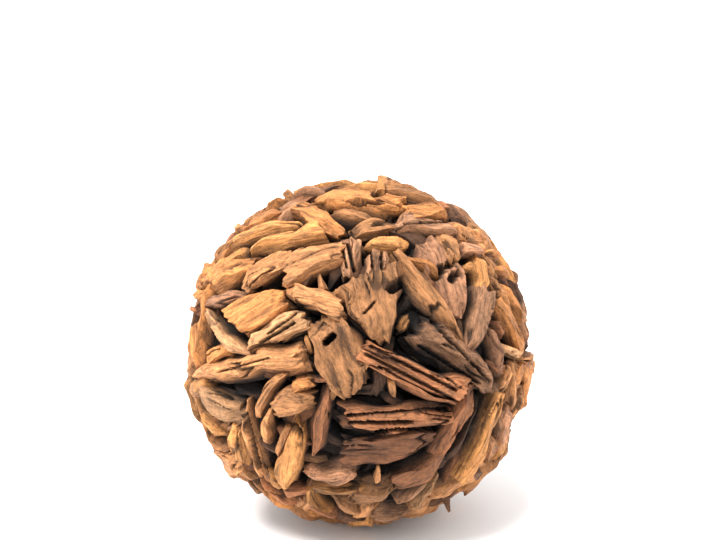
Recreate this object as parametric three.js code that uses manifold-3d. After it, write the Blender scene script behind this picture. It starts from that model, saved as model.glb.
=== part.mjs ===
// A ball made of split root-wood chips glued all over, with deep gaps between them.
// Millimetres, +Z up, the front toward -Y, the origin on the ground under the middle of the ball.
import * as THREE from "three";
import { mergeVertices } from "three/addons/utils/BufferGeometryUtils.js";
import Module from "manifold-3d";

const wasm = await Module();
wasm.setup();

// Driving sizes
const BALL_RADIUS = 200; // to the usual top of a chip
const CHIP_FLOOR = 162; // radius of the undersides of the outer chips
const DEEP_LEVEL = -8; // a chip that lies lower than this is one seen down in a gap
const DEEP_FLOOR = 148;
const BED_RADIUS = 167; // the corners of the packed mass of inner chips
const BED_SWELL = 2;
const BED_DETAIL = 1;
const FLAT_DEPTH = 5; // height of the cap worn off where the ball stands
const GAP = 0.3; // between two chips that touch

// Where the front chips were seen from: the height above level, and the distance to the middle
const EYE_LIFT = THREE.MathUtils.degToRad(15);
const EYE_DISTANCE = 1940;
const RIM_LIMIT = 0.995; // share of the radius where a seen point still lies on the ball

// Proportions of a chip
const ARCH = 0.55; // share of the ball's curve that a chip follows
const UNDERSIDE = 0.85;
const SHOULDER = 0.55;
const END_THINNEST = 0.75;
const END_THICKEST = 0.95;
const LARGE_STEPS = 2;
const SMALL_STEPS = 1;
const SLAB = 0.85; // the width of the top against the width of the chip
const ROUND = 0.55;
const RIDGE = 0.25;

// Colours of the wood
const TONES = {
  tan: 0xb58a60,
  orange: 0xb97a45,
  golden: 0xcc9a58,
  pale: 0xd2ab7f,
  pink: 0xb58672,
  red: 0x8f5638,
  grey: 0x97816c,
  dark: 0x5e4231,
};
const WOOD_ROUGHNESS = 0.85;

// The larger chips of the front. Each row has the name, the tone, both ends as seen [right, up], the
// widths at the start, middle and end, the height of the top over the ball, and the shape of the top.
const FRONT_CHIPS = [
  ["star_wedge", "orange", [-187, 72], [-127, 104], [38, 42, 20], 3, ROUND],
  ["split_root_upper", "golden", [-146, 127], [-72, 148], [16, 16, 10], 1, ROUND],
  ["split_root_lower", "golden", [-127, 116], [-44, 141], [14, 22, 24], 3, ROUND],
  ["orange_slat", "orange", [-128, 148], [-92, 161], [16, 18, 10], 0, SLAB],
  ["tan_plank", "tan", [-137, 78], [-82, 110], [16, 26, 20], 1, SLAB],
  ["saddle_block", "tan", [-80, 98], [-20, 113], [38, 33, 28], 5, SLAB],
  ["orange_plank", "orange", [-88, 170], [-22, 144], [18, 26, 14], 1, SLAB],
  ["eyed_root", "orange", [-52, 177], [46, 172], [16, 36, 30], 2, SLAB],
  ["crown_spur", "golden", [22, 187], [27, 199], [14, 10, 6], 1, ROUND, { rise: 5 }],
  ["under_plank", "tan", [-8, 142], [44, 153], [14, 18, 9], -4, SLAB],
  ["golden_nose", "golden", [9, 127], [56, 124], [14, 25, 18], 3, ROUND],
  ["long_blade", "tan", [46, 114], [119, 14], [26, 29, 8], 4, RIDGE],
  ["cleft_root", "grey", [-15, 133], [-6, 90], [20, 24, 14], 0, ROUND],
  ["grey_stump", "grey", [20, 118], [21, 86], [20, 28, 22], 1, ROUND],
  ["heart_plate", "tan", [10, 86], [31, 13], [88, 58, 8], 4, SLAB],
  ["tan_shingle", "tan", [-84, 68], [-21, 54], [14, 27, 25], 2, SLAB],
  ["bread_block", "orange", [-141, 32], [-88, 66], [40, 37, 24], 5, SLAB],
  ["pink_chip", "pink", [-183, 54], [-138, 65], [8, 19, 12], 0, ROUND],
  ["branch_strip", "pale", [-184, 41], [-133, 0], [12, 16, 12], 1, ROUND],
  ["left_stave", "orange", [-188, 37], [-188, -19], [15, 22, 14], 1, SLAB],
  ["thumb_chip", "orange", [-176, -13], [-152, 7], [15, 21, 12], 1, ROUND],
  ["split_blade", "pale", [-129, 4], [-67, 42], [8, 23, 21], 2, SLAB],
  ["left_log", "tan", [-188, -32], [-75, -3], [14, 35, 32], 7, RIDGE],
  ["low_plate", "pale", [-186, -52], [-143, -70], [17, 30, 20], 1, SLAB],
  ["oak_knob", "golden", [-141, -93], [-136, -133], [18, 26, 19], 2, ROUND],
  ["hollow_blade", "tan", [-134, -60], [-111, -143], [8, 19, 18], 3, RIDGE],
  ["sickle", "tan", [-118, -77], [-86, -29], [11, 15, 8], 1, ROUND, { bow: 8 }],
  ["round_knob", "tan", [-100, -62], [-55, -64], [21, 34, 22], 4, ROUND],
  ["small_nub", "orange", [-80, -35], [-56, -42], [15, 23, 15], 1, ROUND],
  ["tongue", "golden", [-76, -84], [-81, -157], [15, 28, 17], 6, ROUND],
  ["red_blade", "red", [-40, -46], [-53, -122], [8, 23, 10], 1, RIDGE],
  ["holed_plate", "tan", [-42, 38], [-5, -44], [42, 56, 38], 2, SLAB],
  ["ribbed_plank", "red", [8, 1], [115, -53], [25, 26, 17], 8, SLAB],
  ["ribbed_strand", "red", [5, -13], [107, -66], [6, 8, 5], 2, ROUND],
  ["knotted_root", "grey", [76, 22], [164, -45], [32, 42, 8], 4, RIDGE],
  ["grey_stub", "grey", [145, 71], [133, -2], [30, 30, 14], 2, ROUND],
  ["yellow_chip", "golden", [140, 109], [143, 73], [14, 20, 11], 1, ROUND],
  ["pitted_plate", "pink", [80, 128], [117, 44], [25, 42, 12], 0, SLAB],
  ["fan_chip", "tan", [92, 132], [117, 108], [15, 27, 13], 2, SLAB],
  ["grey_plank", "grey", [45, 144], [113, 147], [17, 21, 13], 1, SLAB],
  ["triangle_plate", "orange", [51, 166], [108, 157], [28, 24, 10], 2, SLAB],
  ["rim_sliver", "tan", [32, 189], [96, 171], [15, 19, 12], 1, ROUND],
  ["mauve_block", "pink", [121, 124], [146, 114], [17, 14, 8], 1, SLAB],
  ["spur_chip", "orange", [143, 118], [172, 109], [9, 18, 4], 1, RIDGE],
  ["right_slat", "orange", [161, 53], [192, 0], [16, 16, 11], 1, SLAB],
  ["mauve_strip", "pink", [156, 35], [164, -28], [10, 14, 7], 0, ROUND],
  ["nail_plate", "tan", [184, -15], [177, -81], [17, 28, 16], 1, SLAB],
  ["pale_plank", "golden", [164, -52], [114, -146], [14, 17, 16], 5, SLAB],
  ["red_board", "red", [133, -43], [93, -124], [12, 18, 14], 1, SLAB],
  ["light_block", "pink", [169, -76], [164, -116], [16, 20, 9], 1, SLAB],
  ["shredded_board", "red", [-15, -80], [106, -80], [26, 36, 26], 3, ROUND],
  ["flat_board", "red", [-16, -118], [87, -109], [40, 36, 16], -5, SLAB],
  ["rust_plank", "red", [44, -158], [97, -120], [19, 20, 10], 0, SLAB],
  ["spur_body", "dark", [74, -182], [116, -158], [10, 20, 10], 1, ROUND],
  ["gnarled_knot", "tan", [-10, -171], [39, -156], [16, 26, 18], 3, ROUND],
  ["mouse_chip", "pink", [-64, -146], [-5, -142], [8, 25, 11], 2, RIDGE],
  ["curl", "golden", [6, -162], [-53, -158], [10, 13, 14], 3, ROUND, { bow: -3 }],
  ["bottom_grey", "grey", [12, -188], [58, -185], [11, 18, 8], 4, RIDGE],
];

// The small chips and slivers between them, in the same columns
const SMALL_CHIPS = [
  ["rim_leaf", "tan", [-172, 103], [-150, 130], [10, 16, 6], 0, ROUND],
  ["left_rim_bit", "red", [-197, 58], [-190, 42], [6, 10, 8], 0, ROUND],
  ["yellow_hollow", "golden", [-163, 103], [-138, 116], [14, 20, 14], -5, ROUND],
  ["ring_nub", "tan", [-149, 141], [-134, 147], [14, 19, 14], 1, ROUND],
  ["crown_knob", "tan", [-133, 152], [-118, 157], [13, 17, 12], 1, ROUND],
  ["shoulder_nub", "orange", [-110, 166], [-87, 179], [11, 16, 10], 0, ROUND],
  ["tiny_spike", "tan", [-87, 179], [-79, 186], [9, 7, 3], 0, ROUND, { rise: 4 }],
  ["top_nub", "grey", [-72, 184], [-39, 187], [10, 13, 8], 0, ROUND],
  ["purple_sliver", "pink", [-23, 139], [9, 117], [8, 12, 8], -9, ROUND],
  ["blade_splinter", "orange", [60, 114], [92, 84], [6, 9, 4], 1, ROUND],
  ["thorn", "tan", [-43, 70], [-50, 91], [13, 8, 3], -2, ROUND],
  ["rim_dark", "dark", [98, 171], [128, 150], [7, 12, 5], 0, ROUND],
  ["olive_chip", "tan", [108, 151], [128, 135], [12, 18, 12], 0, ROUND],
  ["rim_bead", "tan", [133, 142], [146, 126], [8, 12, 8], 0, ROUND],
  ["golden_nub", "golden", [122, 102], [133, 98], [12, 15, 12], -2, ROUND],
  ["rim_shoulder", "orange", [158, 104], [178, 82], [12, 16, 11], 0, ROUND],
  ["rim_strip", "tan", [154, 90], [178, 52], [7, 10, 8], -2, ROUND],
  ["rim_lath", "orange", [166, 75], [192, 36], [9, 12, 10], 0, ROUND],
  ["dark_rim", "dark", [178, 84], [190, 52], [9, 13, 8], -1, ROUND],
  ["grey_rim", "grey", [187, 50], [197, 14], [8, 11, 9], 0, ROUND],
  ["dark_root", "dark", [121, 47], [126, 2], [8, 9, 9], -10, ROUND],
  ["twisted_bit", "red", [160, 28], [171, 21], [8, 11, 8], -3, ROUND],
  ["pale_strip", "pale", [165, 15], [189, -13], [7, 10, 7], 0, ROUND],
  ["right_nub", "tan", [189, -10], [198, -6], [10, 9, 6], 1, ROUND],
  ["slab_end", "tan", [176, -18], [166, -50], [11, 14, 12], -1, ROUND],
  ["shadow_board", "dark", [146, -58], [108, -132], [7, 9, 8], -9, ROUND],
  ["small_wedge", "tan", [147, -106], [158, -126], [11, 16, 8], 0, ROUND],
  ["brown_bit", "tan", [134, -121], [149, -131], [12, 14, 12], -4, ROUND],
  ["dark_block", "dark", [124, -148], [143, -139], [15, 18, 13], 0, ROUND],
  ["grey_fibres", "grey", [43, -177], [92, -145], [12, 14, 9], -1, ROUND],
  ["light_strip", "pale", [51, -186], [96, -150], [6, 8, 6], 2, ROUND],
  ["spur_tip", "dark", [98, -171], [107, -184], [14, 9, 3], 0, ROUND, { rise: 14 }],
  ["wedge_bit", "golden", [48, 30], [63, 41], [10, 15, 7], -8, ROUND],
  ["blue_board", "dark", [-17, 50], [22, 18], [18, 22, 14], -13, ROUND],
  ["slot_board", "dark", [-24, -50], [28, -50], [14, 18, 14], -12, ROUND],
  ["deep_board", "dark", [22, -22], [22, -56], [20, 22, 20], -10, ROUND],
  ["board_end", "tan", [40, -31], [41, -56], [8, 10, 8], -8, ROUND],
  ["stub_bundle", "red", [93, -37], [131, -37], [10, 16, 14], -4, ROUND],
  ["gap_peg", "tan", [-72, 7], [-66, -25], [5, 12, 6], -5, ROUND],
  ["gap_sliver", "golden", [-63, 18], [-57, -2], [8, 10, 6], -6, ROUND],
  ["red_bit", "red", [-50, -31], [-42, -41], [8, 11, 6], -5, ROUND],
  ["pale_bit", "pale", [-35, -47], [-24, -44], [7, 9, 6], -4, ROUND],
  ["hollow_stub", "golden", [-182, -80], [-160, -93], [12, 17, 13], 0, ROUND],
  ["fibre_bit", "grey", [-160, -92], [-133, -84], [10, 14, 10], -7, ROUND],
  ["left_nub", "tan", [-168, -105], [-153, -110], [12, 14, 10], 0, ROUND],
  ["thin_rim", "tan", [-141, -133], [-119, -150], [6, 8, 5], 0, ROUND],
  ["sliver", "tan", [-111, -70], [-101, -111], [5, 8, 4], 2, ROUND],
  ["companion", "tan", [-89, -89], [-93, -127], [8, 12, 7], -3, ROUND],
  ["rough_yellow", "golden", [-107, -149], [-88, -159], [9, 14, 9], -3, ROUND],
  ["brown_board", "red", [-90, -164], [-58, -164], [10, 15, 11], -2, ROUND],
  ["low_left_rim", "red", [-117, -152], [-72, -179], [9, 14, 9], 0, ROUND],
  ["bottom_left_rim", "red", [-70, -177], [-20, -192], [9, 13, 10], 0, ROUND],
  ["bottom_rim", "dark", [-25, -190], [14, -194], [8, 11, 8], 0, ROUND],
  ["curl_limb", "golden", [-56, -160], [-36, -186], [9, 7, 6], 2, ROUND, { bow: -5 }],
  ["inner_tongue", "tan", [-33, -172], [8, -188], [10, 15, 11], 0, ROUND],
  ["knot_spike", "tan", [22, -150], [21, -137], [9, 6, 3], 2, ROUND],
];

// The cuts right through a chip: its name, the place as seen, the length, the width and the turn in degrees
const HOLES = [
  ["eyed_root", [22, 181], 11, 7, 10],
  ["eyed_root", [0, 171], 13, 8, 0],
  ["heart_plate", [44, 76], 17, 11, 35],
  ["holed_plate", [-34, 13], 14, 7, 35],
  ["pitted_plate", [91, 90], 13, 11, 60],
  ["nail_plate", [185, -38], 12, 8, 60],
];
const HOLE_SIDES = 6;
const HOLE_DEPTH = 70;

// The chip under the pole that the ball stands on
const FOOT_LENGTH = 112;
const FOOT_WIDTHS = [62, 84, 66];

// The rule for the chips of the sides and the back
const BACK_COUNT = 60; // over a whole ball
const BACK_SEED = 2024;
const BACK_FROM = THREE.MathUtils.degToRad(75); // angle from the eye where they begin
const FOOT_CLEAR = THREE.MathUtils.degToRad(13);
const BACK_LENGTH = [66, 106];
const BACK_WIDTH = [36, 54];
const BACK_LEVEL = [4, 10];
const BACK_SHIFT = 0.05; // radians that a place is off the even spread
const BACK_SWING = 0.5; // radians that a heading is off the flow
const BACK_TONES = ["tan", "orange", "golden", "red", "grey", "tan"];
const GOLDEN_TURN = Math.PI * (3 - Math.sqrt(5));

// Seen directions
const TO_EYE = new THREE.Vector3(0, -Math.cos(EYE_LIFT), Math.sin(EYE_LIFT));
const SEEN_RIGHT = new THREE.Vector3(1, 0, 0);
const SEEN_UP = new THREE.Vector3(0, Math.sin(EYE_LIFT), Math.cos(EYE_LIFT));
const UP = new THREE.Vector3(0, 0, 1);
const DOWN = new THREE.Vector3(0, 0, -1);

// The direction from the middle of the ball to the point of its surface seen at [right, up].
function seenDirection([right, up]) {
  const seen = Math.hypot(right, up);
  const share = Math.min(seen / BALL_RADIUS, RIM_LIMIT);
  const rimSine = BALL_RADIUS / EYE_DISTANCE;
  const sight = Math.atan(share * Math.tan(Math.asin(rimSine)));
  const polar = Math.asin(Math.min(1, Math.sin(sight) / rimSine)) - sight;
  const reach = Math.sin(polar) / Math.max(seen, 1);
  const direction = TO_EYE.clone().multiplyScalar(Math.cos(polar));
  return direction.addScaledVector(SEEN_RIGHT, right * reach).addScaledVector(SEEN_UP, up * reach);
}

// A chip from a row of a table.
function seenChip([name, tone, from, to, widths, level, crown, { bow = 0, rise = 0 } = {}]) {
  const start = seenDirection(from);
  const end = seenDirection(to);
  return { name, tone, start, end, widths, level, crown, bow, rise };
}

// A chip about a direction, lying along a heading.
function placedChip(name, tone, middle, heading, length, widths, level, crown) {
  const half = length / 2 / BALL_RADIUS;
  const start = middle.clone().multiplyScalar(Math.cos(half)).addScaledVector(heading, -Math.sin(half));
  const end = middle.clone().multiplyScalar(Math.cos(half)).addScaledVector(heading, Math.sin(half));
  return { name, tone, start, end, widths, level, crown, bow: 0, rise: 0 };
}

// The section of a small chip, one unit wide and one high.
function smallSection(crown) {
  const shape = new THREE.Shape();
  shape.moveTo(-0.5, 0);
  shape.lineTo(0.5, 0);
  shape.lineTo(crown / 2, 1);
  shape.lineTo(-crown / 2, 1);
  shape.closePath();
  return shape;
}

// The section of a large chip, widest at its shoulders.
function largeSection(crown) {
  const shape = new THREE.Shape();
  shape.moveTo(-UNDERSIDE / 2, 0);
  shape.lineTo(UNDERSIDE / 2, 0);
  shape.lineTo(0.5, SHOULDER);
  shape.lineTo(crown / 2, 1);
  shape.lineTo(-crown / 2, 1);
  shape.lineTo(-0.5, SHOULDER);
  shape.closePath();
  return shape;
}

// The width at a share of the length, on the curve through the three widths.
function widthAt([first, middle, last], share) {
  const early = first * (1 - share) * (1 - 2 * share);
  const late = last * share * (2 * share - 1);
  return early + 4 * middle * share * (1 - share) + late;
}

// The thickness at a share of the length, against the thickness in the middle.
function thinningAt([first, middle, last], share) {
  const end = share < 0.5 ? first : last;
  const thinnest = THREE.MathUtils.clamp(end / middle, END_THINNEST, END_THICKEST);
  const inward = Math.min(1, Math.min(share, 1 - share) * LARGE_STEPS);
  return thinnest + (1 - thinnest) * inward;
}

// A chip of the given section bent over the ball, grown all round for use as a cutter.
function chipSolid(chip, shape, steps, grow = 0) {
  const floor = chip.level < DEEP_LEVEL ? DEEP_FLOOR : CHIP_FLOOR;
  const top = BALL_RADIUS + chip.level;
  const thickness = top - floor;
  const start = chip.start.clone().multiplyScalar(top);
  const end = chip.end.clone().multiplyScalar(top + chip.rise);
  const along = end.clone().sub(start).normalize();
  const out = start.clone().add(end).normalize();
  out.addScaledVector(along, -out.dot(along)).normalize();
  const side = out.clone().cross(along);
  const geometry = new THREE.ExtrudeGeometry(shape, { depth: 1, steps, bevelEnabled: false });
  const position = geometry.getAttribute("position");
  for (let i = 0; i < position.count; i++) {
    const across = position.getX(i);
    const height = position.getY(i);
    const share = position.getZ(i);
    const point = start.clone().lerp(end, share);
    const lift = ARCH * (top + chip.rise * share - point.length());
    const swell = grow * (2 * height - 1);
    const sink = thickness * (1 - height * thinningAt(chip.widths, share));
    const shift = across * (widthAt(chip.widths, share) + 2 * grow);
    point.addScaledVector(out, lift - sink + swell);
    point.addScaledVector(side, shift + chip.bow * 4 * share * (1 - share));
    point.addScaledVector(along, grow * (2 * share - 1));
    position.setXYZ(i, point.x, point.y, point.z);
  }
  return solidOf(geometry);
}

function largeChip(chip, grow = 0) {
  return chipSolid(chip, largeSection(chip.crown), LARGE_STEPS, grow);
}

function smallChip(chip) {
  return chipSolid(chip, smallSection(chip.crown), SMALL_STEPS);
}

// A closed geometry as a solid that can be cut and joined.
function solidOf(geometry) {
  geometry.deleteAttribute("normal");
  geometry.deleteAttribute("uv");
  const merged = mergeVertices(geometry, 1e-3);
  const vertProperties = merged.getAttribute("position").array;
  const triVerts = new Uint32Array(merged.index.array);
  return new wasm.Manifold(new wasm.Mesh({ numProp: 3, vertProperties, triVerts }));
}

// The largest connected body of a solid.
function largestBody(solid) {
  const bodies = solid.decompose();
  return bodies.reduce((best, body) => (body.volume() > best.volume() ? body : best));
}

// A solid as a named mesh.
function meshOf(name, tone, solid) {
  const { vertProperties, triVerts } = solid.getMesh();
  const geometry = new THREE.BufferGeometry();
  geometry.setAttribute("position", new THREE.BufferAttribute(new Float32Array(vertProperties), 3));
  geometry.setIndex(new THREE.BufferAttribute(new Uint32Array(triVerts), 1));
  geometry.computeVertexNormals();
  const material = new THREE.MeshStandardMaterial({ color: TONES[tone], roughness: WOOD_ROUGHNESS });
  const mesh = new THREE.Mesh(geometry, material);
  mesh.name = name;
  return mesh;
}

// The ground side of the ball, as a block to cut with.
function groundBlock() {
  const size = 4 * BALL_RADIUS;
  const block = new THREE.BoxGeometry(size, size, size);
  block.translate(0, 0, FLAT_DEPTH - BALL_RADIUS - size / 2);
  return solidOf(block);
}

// A hole square to the surface of the ball.
function holeSolid([, place, length, width, turn]) {
  const hole = new THREE.CylinderGeometry(0.5, 0.5, HOLE_DEPTH, HOLE_SIDES);
  hole.rotateX(Math.PI / 2);
  hole.rotateZ(Math.PI / HOLE_SIDES);
  hole.scale(length, width, 1);
  hole.rotateZ(THREE.MathUtils.degToRad(turn));
  const out = seenDirection(place);
  const frame = new THREE.Matrix4().lookAt(out, new THREE.Vector3(), SEEN_UP);
  frame.setPosition(out.multiplyScalar(BALL_RADIUS));
  return solidOf(hole.applyMatrix4(frame));
}

// The packed inner chips, as one uneven mass.
function bedSolid() {
  const bed = new THREE.IcosahedronGeometry(1, BED_DETAIL);
  const position = bed.getAttribute("position");
  const point = new THREE.Vector3();
  for (let i = 0; i < position.count; i++) {
    point.fromBufferAttribute(position, i).normalize();
    const wave = Math.sin(9 * point.x + 4 * point.z) * Math.sin(8 * point.y - 3 * point.x);
    point.multiplyScalar(BED_RADIUS + BED_SWELL * wave);
    position.setXYZ(i, point.x, point.y, point.z);
  }
  return solidOf(bed);
}

// A repeatable row of numbers from 0 to 1.
function numberRow(seed) {
  let state = seed;
  return () => {
    state = (Math.imul(state, 1664525) + 1013904223) >>> 0;
    return state / 4294967296;
  };
}

// The chips of the sides and the back, spread evenly over the ball by a spiral and set along a slow flow.
function backChips() {
  const next = numberRow(BACK_SEED);
  const between = ([low, high]) => low + (high - low) * next();
  const chips = [];
  for (let i = 0; i < BACK_COUNT; i++) {
    const height = 1 - (2 * i + 1) / BACK_COUNT;
    const ring = Math.sqrt(1 - height * height);
    const turn = i * GOLDEN_TURN;
    const middle = new THREE.Vector3(ring * Math.cos(turn), ring * Math.sin(turn), height);
    const east = UP.clone().cross(middle).normalize();
    const north = middle.clone().cross(east);
    middle.addScaledVector(east, BACK_SHIFT * (2 * next() - 1));
    middle.addScaledVector(north, BACK_SHIFT * (2 * next() - 1)).normalize();
    const flow = 2 * Math.sin(2 * middle.x - 3 * middle.z) + 1.5 * Math.cos(3 * middle.y + middle.x);
    const angle = flow + BACK_SWING * (2 * next() - 1);
    const length = between(BACK_LENGTH);
    const width = between(BACK_WIDTH);
    const widths = [width * (0.45 + 0.5 * next()), width, width * (0.3 + 0.6 * next())];
    const level = between(BACK_LEVEL);
    const crown = next() < 0.5 ? ROUND : SLAB;
    const tone = BACK_TONES[Math.floor(next() * BACK_TONES.length)];
    if (middle.angleTo(TO_EYE) < BACK_FROM || middle.angleTo(DOWN) < FOOT_CLEAR) continue;
    const heading = east.multiplyScalar(Math.cos(angle)).addScaledVector(north, Math.sin(angle));
    heading.addScaledVector(middle, -heading.dot(middle)).normalize();
    chips.push(placedChip(`back_${i}`, tone, middle, heading, length, widths, level, crown));
  }
  return chips;
}

// The larger chips, each cut back by the ones that lie higher, and then holed.
function separateChips() {
  const foot = placedChip("foot_chip", "tan", DOWN, SEEN_RIGHT, FOOT_LENGTH, FOOT_WIDTHS, 0, SLAB);
  const chips = [...FRONT_CHIPS.map(seenChip), foot].sort((one, other) => other.level - one.level);
  const ground = groundBlock();
  const cutters = [];
  const meshes = [];
  for (const chip of chips) {
    let solid = largeChip(chip).subtract(ground);
    for (const cutter of cutters) solid = solid.subtract(cutter);
    cutters.push(largeChip(chip, GAP));
    for (const hole of HOLES.filter(([name]) => name === chip.name)) solid = solid.subtract(holeSolid(hole));
    meshes.push(meshOf(chip.name, chip.tone, largestBody(solid)));
  }
  return { meshes, cutters };
}

// All the other chips as one body, cut back by the larger ones.
function packedChips(cutters) {
  const small = SMALL_CHIPS.map(seenChip).concat(backChips());
  let solid = bedSolid();
  for (const chip of small) solid = solid.add(smallChip(chip));
  for (const cutter of cutters) solid = solid.subtract(cutter);
  return meshOf("packed_chips", "dark", largestBody(solid.subtract(groundBlock())));
}

const ball = new THREE.Group();
const { meshes, cutters } = separateChips();
ball.add(...meshes, packedChips(cutters));
ball.position.z = BALL_RADIUS - FLAT_DEPTH;

const root = new THREE.Group();
root.name = "root_wood_ball";
root.add(ball);

export default root;
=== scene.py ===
"""Dress the root-wood ball: every chip as split, weathered wood, on a pale studio stage."""

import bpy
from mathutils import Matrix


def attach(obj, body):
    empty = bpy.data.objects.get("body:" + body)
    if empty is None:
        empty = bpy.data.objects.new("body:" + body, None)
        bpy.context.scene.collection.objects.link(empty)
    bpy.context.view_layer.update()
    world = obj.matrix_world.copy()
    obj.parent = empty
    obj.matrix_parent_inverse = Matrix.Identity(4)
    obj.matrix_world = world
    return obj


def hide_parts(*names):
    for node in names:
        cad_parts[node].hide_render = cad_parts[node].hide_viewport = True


bl_info = {
    "name": "Root-wood ball",
    "version": (1, 0, 0),
    "blender": (4, 5, 0),
    "location": "View3D > Sidebar > Root ball",
    "description": "Builds a decorative ball of split root-wood chips and the stage around it",
    "category": "Add Mesh",
}

import math
import random

import bmesh
import bpy
from mathutils import Matrix, Vector, noise

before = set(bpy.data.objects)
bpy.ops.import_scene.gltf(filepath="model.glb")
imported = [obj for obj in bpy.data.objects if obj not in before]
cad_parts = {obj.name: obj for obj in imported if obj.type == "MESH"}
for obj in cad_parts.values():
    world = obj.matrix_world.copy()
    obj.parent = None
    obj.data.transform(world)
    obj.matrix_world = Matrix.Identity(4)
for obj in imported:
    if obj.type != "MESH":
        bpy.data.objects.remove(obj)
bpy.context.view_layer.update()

# Sizes of the ball, in millimetres as the chips below
MM = 0.001
BALL_RADIUS = 200.0
CHIP_FLOOR = 162.0
DEEP_LEVEL = -8.0
DEEP_FLOOR = 148.0
BED_RADIUS = 160.0
BED_SWELL = 9.0
BED_PERIOD = 22.0
BED_FINENESS = 4
FLAT_DEPTH = 5.0
CENTRE_HEIGHT = BALL_RADIUS - FLAT_DEPTH

# Where the front chips were seen from
EYE_LIFT = math.radians(15.0)
EYE_DISTANCE = 1940.0
RIM_LIMIT = 0.995
LENS = 85.0
SENSOR = 36.0
PHOTO_SIZE = (716, 540)
BALL_PIXEL = (359, 351)

# Where the soft light comes from, and how wide it is
KEY_FROM = Vector((-0.42, -0.42, 1.25))
KEY_ANGLE = math.radians(36.0)

# Proportions of a chip
ARCH = 0.55
UNDERSIDE = 0.85
SHOULDER = 0.55
END_THINNEST = 0.75
END_THICKEST = 0.95
END_RUN = 0.28
END_START = -0.1
HEART_HEIGHT = 0.45
SLAB = 0.85
ROUND = 0.55
RIDGE = 0.25

# Tones of the wood, the brown of its stains, and the reach of the painted shade that darkens the gaps, in
# metres from the middle
TONES = ("tan", "orange", "golden", "pale", "pink", "red", "grey", "dark")
STAIN = Vector((0.2, 0.086, 0.035))
PAINTED_SHADE_REACH = (0.18, 0.199)

# Noises of the wood: the scales along the grain and across it, per millimetre, and the detail
GRAIN_NOISES = {
    "streak": ((0.035, 1.1, 1.1), 5.0),
    "band": ((0.014, 0.11, 0.11), 3.0),
    "line": ((0.02, 0.5, 0.5), 2.0),
    "pore": ((0.16, 2.8, 2.8), 2.0),
    "blotch": ((0.03, 0.06, 0.06), 3.0),
    "mottle": ((0.1, 0.19, 0.19), 4.0),
    "speck": ((0.3, 0.5, 0.5), 2.0),
}
NOISE_ROUGHNESS = 0.6

# How the noises and attributes change the colour: from where to where they act, and the shares of it there
NOISE_SHADES = {
    "line": (0.34, 0.44, 0.58, 1.0),
    "pore": (0.36, 0.48, 0.66, 1.0),
    "mottle": (0.36, 0.6, 0.74, 1.08),
    "speck": (0.3, 0.4, 0.5, 1.0),
}
# Of the attributes, relief darkens the cracks, grooves and hollows as painted shade and lightens the
# ridges, partly as worn edges and partly as a painted highlight; cut darkens the end grain
ATTRIBUTE_SHADES = {
    "relief": (-0.7, 0.3, 0.25, 1.12),
    # shade: each chip's brightness, partly its own tone and partly painted light and shade
    "shade": (-2.0, 1.0, 0.5, 1.18),
    "cut": (0.0, 0.6, 1.0, 0.7),
}
FIGURE_SHARES = {"streak": 0.45, "band": 0.55}
FIGURE_RAMP = ((0.32, 0.62), (0.5, 1.0), (0.68, 1.22))
STAIN_RANGE = (0.48, 0.72, 0.0, 0.7)
STAIN_SHARE = 0.5
GLOSS_RANGE = (0.3, 0.7, 0.92, 0.68)
SPECULAR = 0.3
BUMP_SHARES = {"streak": 1.0, "pore": 0.4, "mottle": 1.2, "speck": 0.6}
BUMP_STRENGTH = 0.8
BUMP_DISTANCE = 0.0016

# The floor of the stage, in metres
FLOOR_HALF = 12.0
FLOOR_DROP = 0.0005
FLOOR_ROUGHNESS = 0.9

# How closely the points stand on each side of a section, from the right shoulder over the top
SIDE_CARES = (1.0, 1.0, 1.0, 0.6, 0.3, 0.6)

# Relief of split wood: its periods in millimetres, along and across the grain, and its limits
WANDER_PERIOD = 34.0
WANDER_WIDTH = 0.15
WANDER_HEIGHT = 0.1
CORNER_STEP = 7.3
BEND_PERIOD = 45.0
TWIST_MOST = math.radians(16.0)
SLOPE_MOST = 0.35
NOISE_SPREAD = 400.0
RIDGE_MIDDLE = 0.6
FACET_PERIODS = (80.0, 17.0)
FIBRE_PERIODS = (40.0, 3.2)
CRACK_PERIODS = (95.0, 13.0)
CRACK_SHARE = 0.07
CRACK_GATE = 38.0
CRACK_OPENS = (-0.1, 0.35)
GATE_STEP = 50.0
TEAR_PERIOD = 5.0
TEAR_SHARE = 0.25
GNARL_PERIOD = 24.0
GNARL_RANGE = (0.5, 1.1)
OTHER_NOISE = Vector((31.7, 17.3, 53.1))
END_SHARE = 0.25
END_ROUGHNESS = 2.2
END_PERIOD = 3.0
END_STEP = 9.0
MARK_EDGE = (0.35, 0.75)
MARKED_FROM = 0.3
SHARP_ANGLE = math.radians(38.0)

# What the relief attribute holds, which the wood turns into painted shade in the cracks and hollows and
# lighter ridges: the shares of the ridges, and the depths that darken it by one
FACET_WEIGHT = 0.35
FIBRE_WEIGHT = 0.4
CRACK_FULL = 4.0
HOLLOW_FULL = 6.0
GRAIN_SHIFT = Vector((7, 3, 5))

# Chips that are more knobbly or straighter than the rest, against the usual gnarl
GNARLS = {
    "knotted_root": 2.2, "gnarled_knot": 1.8, "round_knob": 1.4, "cleft_root": 1.3, "grey_stump": 1.2,
    "mouse_chip": 1.5, "eyed_root": 1.2, "triangle_plate": 1.0, "heart_plate": 1.2, "holed_plate": 1.3,
    "saddle_block": 0.3, "bread_block": 0.5, "flat_board": 0.4, "pale_plank": 0.3, "ribbed_plank": 0.3,
    "shredded_board": 0.6, "long_blade": 0.6, "tongue": 0.5, "star_wedge": 1.2, "foot_chip": 0.3,
}

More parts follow.
